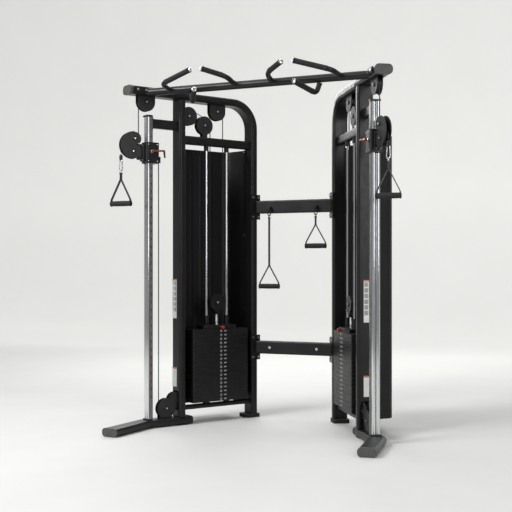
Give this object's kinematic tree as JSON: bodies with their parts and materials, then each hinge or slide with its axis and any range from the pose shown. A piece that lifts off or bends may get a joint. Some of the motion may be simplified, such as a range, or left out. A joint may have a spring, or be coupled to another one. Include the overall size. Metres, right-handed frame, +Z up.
{
  "type": "functional trainer",
  "caption": "Dual adjustable cable machine: two angled towers with weight stacks, sliding pulley heads, strap handles, a pull-up bar with angled grips and two cross beams.",
  "frame": {"origin": "on the floor at the middle of the machine's footprint", "axes": "+Z up, +X to the user's right, +Y to the back, away from the user"},
  "size_m": [1.854, 1.1253, 2.2131],
  "materials": {
    "frame_paint": "satin black powder coat",
    "chrome_tube": "polished chrome",
    "zinc_rail": "zinc plated, satin",
    "shroud_sheet": "matt black powder coat",
    "plate_iron": "black satin over steel",
    "cover_plastic": "fine matt grain",
    "wheel_nylon": "black nylon",
    "grip_rubber": "matt rubber",
    "cap_chrome": "polished chrome",
    "cap_grey": "grey moulded plastic",
    "pad_rubber": "black rubber",
    "bolt_steel": "bright zinc",
    "cable_coat": "black nylon coated steel cable",
    "carriage_black": "black powder coat",
    "pull_red": "copper red moulded plastic",
    "selector_red": "red moulded knob",
    "hook_steel": "polished steel",
    "strap_nylon": "black nylon webbing"
  },
  "bodies": {
    "root": {"front_uprights": "frame_paint", "rear_uprights": "frame_paint", "top_arms": "frame_paint", "foot_rails": "frame_paint", "tower_braces": "frame_paint", "guide_tubes": "chrome_tube", "height_rails": "zinc_rail", "side_shrouds": "shroud_sheet", "guide_rods": "chrome_tube", "weight_plates": "plate_iron", "pulley_covers": "cover_plastic", "pull_up_bar": "frame_paint", "bar_grips": "grip_rubber", "grip_caps": "cap_chrome", "crossbeams": "frame_paint", "storage_hooks": "frame_paint", "frame_bolts": "bolt_steel", "end_caps": "cap_grey", "rubber_pads": "pad_rubber", "fixed_cables": "cable_coat"},
    "left_carriage": {"left_carriage": "carriage_black", "left_upper_run": "cable_coat", "left_lower_run": "cable_coat"},
    "left_pull_pin": {"left_pull_pin": "pull_red"},
    "left_swivel_head": {"left_swivel_head": "cover_plastic"},
    "left_head_wheel_upper": {"left_head_wheel_upper": "wheel_nylon"},
    "left_head_wheel_lower": {"left_head_wheel_lower": "wheel_nylon"},
    "left_arm_wheel": {"left_arm_wheel": "wheel_nylon"},
    "left_top_wheel_front": {"left_top_wheel_front": "wheel_nylon"},
    "left_top_wheel_middle": {"left_top_wheel_middle": "wheel_nylon"},
    "left_top_wheel_rear": {"left_top_wheel_rear": "wheel_nylon"},
    "left_base_wheel_front": {"left_base_wheel_front": "wheel_nylon"},
    "left_base_wheel_rear": {"left_base_wheel_rear": "wheel_nylon"},
    "left_float_wheel": {"left_float_wheel": "wheel_nylon"},
    "left_stack_head": {"left_stack_head": "plate_iron", "left_stack_runs": "cable_coat"},
    "left_selector_pin": {"left_selector_pin": "selector_red"},
    "left_handle_hook": {"left_handle_hook": "hook_steel"},
    "left_strap_handle": {"left_strap_handle": "strap_nylon"},
    "right_carriage": {"right_carriage": "carriage_black", "right_upper_run": "cable_coat", "right_lower_run": "cable_coat"},
    "right_pull_pin": {"right_pull_pin": "pull_red"},
    "right_swivel_head": {"right_swivel_head": "cover_plastic"},
    "right_head_wheel_upper": {"right_head_wheel_upper": "wheel_nylon"},
    "right_head_wheel_lower": {"right_head_wheel_lower": "wheel_nylon"},
    "right_arm_wheel": {"right_arm_wheel": "wheel_nylon"},
    "right_top_wheel_front": {"right_top_wheel_front": "wheel_nylon"},
    "right_top_wheel_middle": {"right_top_wheel_middle": "wheel_nylon"},
    "right_top_wheel_rear": {"right_top_wheel_rear": "wheel_nylon"},
    "right_base_wheel_front": {"right_base_wheel_front": "wheel_nylon"},
    "right_base_wheel_rear": {"right_base_wheel_rear": "wheel_nylon"},
    "right_float_wheel": {"right_float_wheel": "wheel_nylon"},
    "right_stack_head": {"right_stack_head": "plate_iron", "right_stack_runs": "cable_coat"},
    "right_selector_pin": {"right_selector_pin": "selector_red"},
    "right_handle_hook": {"right_handle_hook": "hook_steel"},
    "right_strap_handle": {"right_strap_handle": "strap_nylon"},
    "long_storage_handle": {"long_storage_handle": "strap_nylon"},
    "short_storage_handle": {"short_storage_handle": "strap_nylon"}
  },
  "joints": [
    {"name": "left_carriage_slide", "type": "slide", "parent": "root", "child": "left_carriage", "axis": [0, 0, 1], "range_m": [-1.3, 0.05], "deforming": ["left_upper_run", "left_lower_run"]},
    {"name": "left_pull_pin_slide", "type": "slide", "parent": "left_carriage", "child": "left_pull_pin", "axis": [0.8448, -0.5351, 0], "range_m": [0, 0.014], "stiffness_N_per_m": 900},
    {"name": "left_head_swivel", "type": "hinge", "parent": "left_carriage", "child": "left_swivel_head", "pos_m": [-0.78146, -0.22975, 1.746], "axis": [0, 0, 1], "range_deg": [-85, 85]},
    {"name": "left_head_wheel_upper_spin", "type": "hinge", "parent": "left_swivel_head", "child": "left_head_wheel_upper", "pos_m": [-0.79984, -0.25217, 1.831], "axis": [-0.7733, 0.6341, 0], "continuous": true},
    {"name": "left_head_wheel_lower_spin", "type": "hinge", "parent": "left_swivel_head", "child": "left_head_wheel_lower", "pos_m": [-0.80682, -0.26068, 1.75], "axis": [-0.7733, 0.6341, 0], "continuous": true},
    {"name": "left_arm_wheel_spin", "type": "hinge", "parent": "root", "child": "left_arm_wheel", "pos_m": [-0.7547, -0.18751, 2.07], "axis": [-0.8448, 0.5351, 0], "continuous": true},
    {"name": "left_top_wheel_front_spin", "type": "hinge", "parent": "root", "child": "left_top_wheel_front", "pos_m": [-0.58668, 0.07776, 2.008], "axis": [-0.8448, 0.5351, 0], "continuous": true},
    {"name": "left_top_wheel_middle_spin", "type": "hinge", "parent": "root", "child": "left_top_wheel_middle", "pos_m": [-0.5214, 0.18082, 1.957], "axis": [-0.8448, 0.5351, 0], "continuous": true},
    {"name": "left_top_wheel_rear_spin", "type": "hinge", "parent": "root", "child": "left_top_wheel_rear", "pos_m": [-0.46789, 0.2653, 2.058], "axis": [-0.8448, 0.5351, 0], "continuous": true},
    {"name": "left_base_wheel_front_spin", "type": "hinge", "parent": "root", "child": "left_base_wheel_front", "pos_m": [-0.67711, -0.06501, 0.114], "axis": [-0.8448, 0.5351, 0], "continuous": true},
    {"name": "left_base_wheel_rear_spin", "type": "hinge", "parent": "root", "child": "left_base_wheel_rear", "pos_m": [-0.62949, 0.01017, 0.16], "axis": [-0.8448, 0.5351, 0], "continuous": true},
    {"name": "left_float_wheel_spin", "type": "hinge", "parent": "left_stack_head", "child": "left_float_wheel", "pos_m": [-0.46789, 0.2653, 0.786], "axis": [-0.8448, 0.5351, 0], "continuous": true},
    {"name": "left_stack_lift", "type": "slide", "parent": "root", "child": "left_stack_head", "axis": [0, 0, 1], "range_m": [0, 0.62], "deforming": ["left_stack_runs"]},
    {"name": "left_selector_pin_slide", "type": "slide", "parent": "left_stack_head", "child": "left_selector_pin", "axis": [0.8448, -0.5351, 0], "range_m": [0, 0.09]},
    {"name": "left_handle_pull", "type": "slide", "parent": "left_swivel_head", "child": "left_handle_hook", "axis": [0, 0, -1], "range_m": [0, 1.24]},
    {"name": "left_handle_swing", "type": "hinge", "parent": "left_handle_hook", "child": "left_strap_handle", "pos_m": [-0.85501, -0.31945, 1.638], "axis": [1, 0, 0], "range_deg": [-70, 8]},
    {"name": "right_carriage_slide", "type": "slide", "parent": "root", "child": "right_carriage", "axis": [0, 0, 1], "range_m": [-1.3, 0.05], "deforming": ["right_upper_run", "right_lower_run"]},
    {"name": "right_pull_pin_slide", "type": "slide", "parent": "right_carriage", "child": "right_pull_pin", "axis": [-0.8448, -0.5351, 0], "range_m": [0, 0.014], "stiffness_N_per_m": 900},
    {"name": "right_head_swivel", "type": "hinge", "parent": "right_carriage", "child": "right_swivel_head", "pos_m": [0.78146, -0.22975, 1.746], "axis": [0, 0, 1], "range_deg": [-85, 85]},
    {"name": "right_head_wheel_upper_spin", "type": "hinge", "parent": "right_swivel_head", "child": "right_head_wheel_upper", "pos_m": [0.79984, -0.25217, 1.831], "axis": [0.7733, 0.6341, 0], "continuous": true},
    {"name": "right_head_wheel_lower_spin", "type": "hinge", "parent": "right_swivel_head", "child": "right_head_wheel_lower", "pos_m": [0.80682, -0.26068, 1.75], "axis": [0.7733, 0.6341, 0], "continuous": true},
    {"name": "right_arm_wheel_spin", "type": "hinge", "parent": "root", "child": "right_arm_wheel", "pos_m": [0.7547, -0.18751, 2.07], "axis": [0.8448, 0.5351, 0], "continuous": true},
    {"name": "right_top_wheel_front_spin", "type": "hinge", "parent": "root", "child": "right_top_wheel_front", "pos_m": [0.58668, 0.07776, 2.008], "axis": [0.8448, 0.5351, 0], "continuous": true},
    {"name": "right_top_wheel_middle_spin", "type": "hinge", "parent": "root", "child": "right_top_wheel_middle", "pos_m": [0.5214, 0.18082, 1.957], "axis": [0.8448, 0.5351, 0], "continuous": true},
    {"name": "right_top_wheel_rear_spin", "type": "hinge", "parent": "root", "child": "right_top_wheel_rear", "pos_m": [0.46789, 0.2653, 2.058], "axis": [0.8448, 0.5351, 0], "continuous": true},
    {"name": "right_base_wheel_front_spin", "type": "hinge", "parent": "root", "child": "right_base_wheel_front", "pos_m": [0.67711, -0.06501, 0.114], "axis": [0.8448, 0.5351, 0], "continuous": true},
    {"name": "right_base_wheel_rear_spin", "type": "hinge", "parent": "root", "child": "right_base_wheel_rear", "pos_m": [0.62949, 0.01017, 0.16], "axis": [0.8448, 0.5351, 0], "continuous": true},
    {"name": "right_float_wheel_spin", "type": "hinge", "parent": "right_stack_head", "child": "right_float_wheel", "pos_m": [0.46789, 0.2653, 0.786], "axis": [0.8448, 0.5351, 0], "continuous": true},
    {"name": "right_stack_lift", "type": "slide", "parent": "root", "child": "right_stack_head", "axis": [0, 0, 1], "range_m": [0, 0.62], "deforming": ["right_stack_runs"]},
    {"name": "right_selector_pin_slide", "type": "slide", "parent": "right_stack_head", "child": "right_selector_pin", "axis": [-0.8448, -0.5351, 0], "range_m": [0, 0.09]},
    {"name": "right_handle_pull", "type": "slide", "parent": "right_swivel_head", "child": "right_handle_hook", "axis": [0, 0, -1], "range_m": [0, 1.24]},
    {"name": "right_handle_swing", "type": "hinge", "parent": "right_handle_hook", "child": "right_strap_handle", "pos_m": [0.85501, -0.31945, 1.638], "axis": [1, 0, 0], "range_deg": [-70, 8]},
    {"name": "long_storage_handle_swing", "type": "hinge", "parent": "root", "child": "long_storage_handle", "pos_m": [-0.165, 0.46169, 1.424], "axis": [1, 0, 0], "range_deg": [-30, 3]},
    {"name": "short_storage_handle_swing", "type": "hinge", "parent": "root", "child": "short_storage_handle", "pos_m": [0.165, 0.46169, 1.424], "axis": [1, 0, 0], "range_deg": [-30, 3]}
  ],
  "couplings": [
    {"joint": "left_arm_wheel_spin", "follows": "left_stack_lift", "rad_per_m": -40},
    {"joint": "left_top_wheel_rear_spin", "follows": "left_stack_lift", "rad_per_m": -40},
    {"joint": "left_float_wheel_spin", "follows": "left_stack_lift", "rad_per_m": -20},
    {"joint": "left_head_wheel_upper_spin", "follows": "left_stack_lift", "rad_per_m": 68.966},
    {"joint": "left_head_wheel_lower_spin", "follows": "left_stack_lift", "rad_per_m": -68.966},
    {"joint": "left_handle_pull", "follows": "left_stack_lift", "ratio": 2},
    {"joint": "left_top_wheel_middle_spin", "follows": "left_carriage_slide", "rad_per_m": -20},
    {"joint": "left_top_wheel_front_spin", "follows": "left_carriage_slide", "rad_per_m": -20},
    {"joint": "left_base_wheel_front_spin", "follows": "left_carriage_slide", "rad_per_m": 20},
    {"joint": "left_base_wheel_rear_spin", "follows": "left_carriage_slide", "rad_per_m": 33.333},
    {"joint": "right_arm_wheel_spin", "follows": "right_stack_lift", "rad_per_m": 40},
    {"joint": "right_top_wheel_rear_spin", "follows": "right_stack_lift", "rad_per_m": 40},
    {"joint": "right_float_wheel_spin", "follows": "right_stack_lift", "rad_per_m": 20},
    {"joint": "right_head_wheel_upper_spin", "follows": "right_stack_lift", "rad_per_m": -68.966},
    {"joint": "right_head_wheel_lower_spin", "follows": "right_stack_lift", "rad_per_m": 68.966},
    {"joint": "right_handle_pull", "follows": "right_stack_lift", "ratio": 2},
    {"joint": "right_top_wheel_middle_spin", "follows": "right_carriage_slide", "rad_per_m": 20},
    {"joint": "right_top_wheel_front_spin", "follows": "right_carriage_slide", "rad_per_m": 20},
    {"joint": "right_base_wheel_front_spin", "follows": "right_carriage_slide", "rad_per_m": -20},
    {"joint": "right_base_wheel_rear_spin", "follows": "right_carriage_slide", "rad_per_m": -33.333}
  ]
}
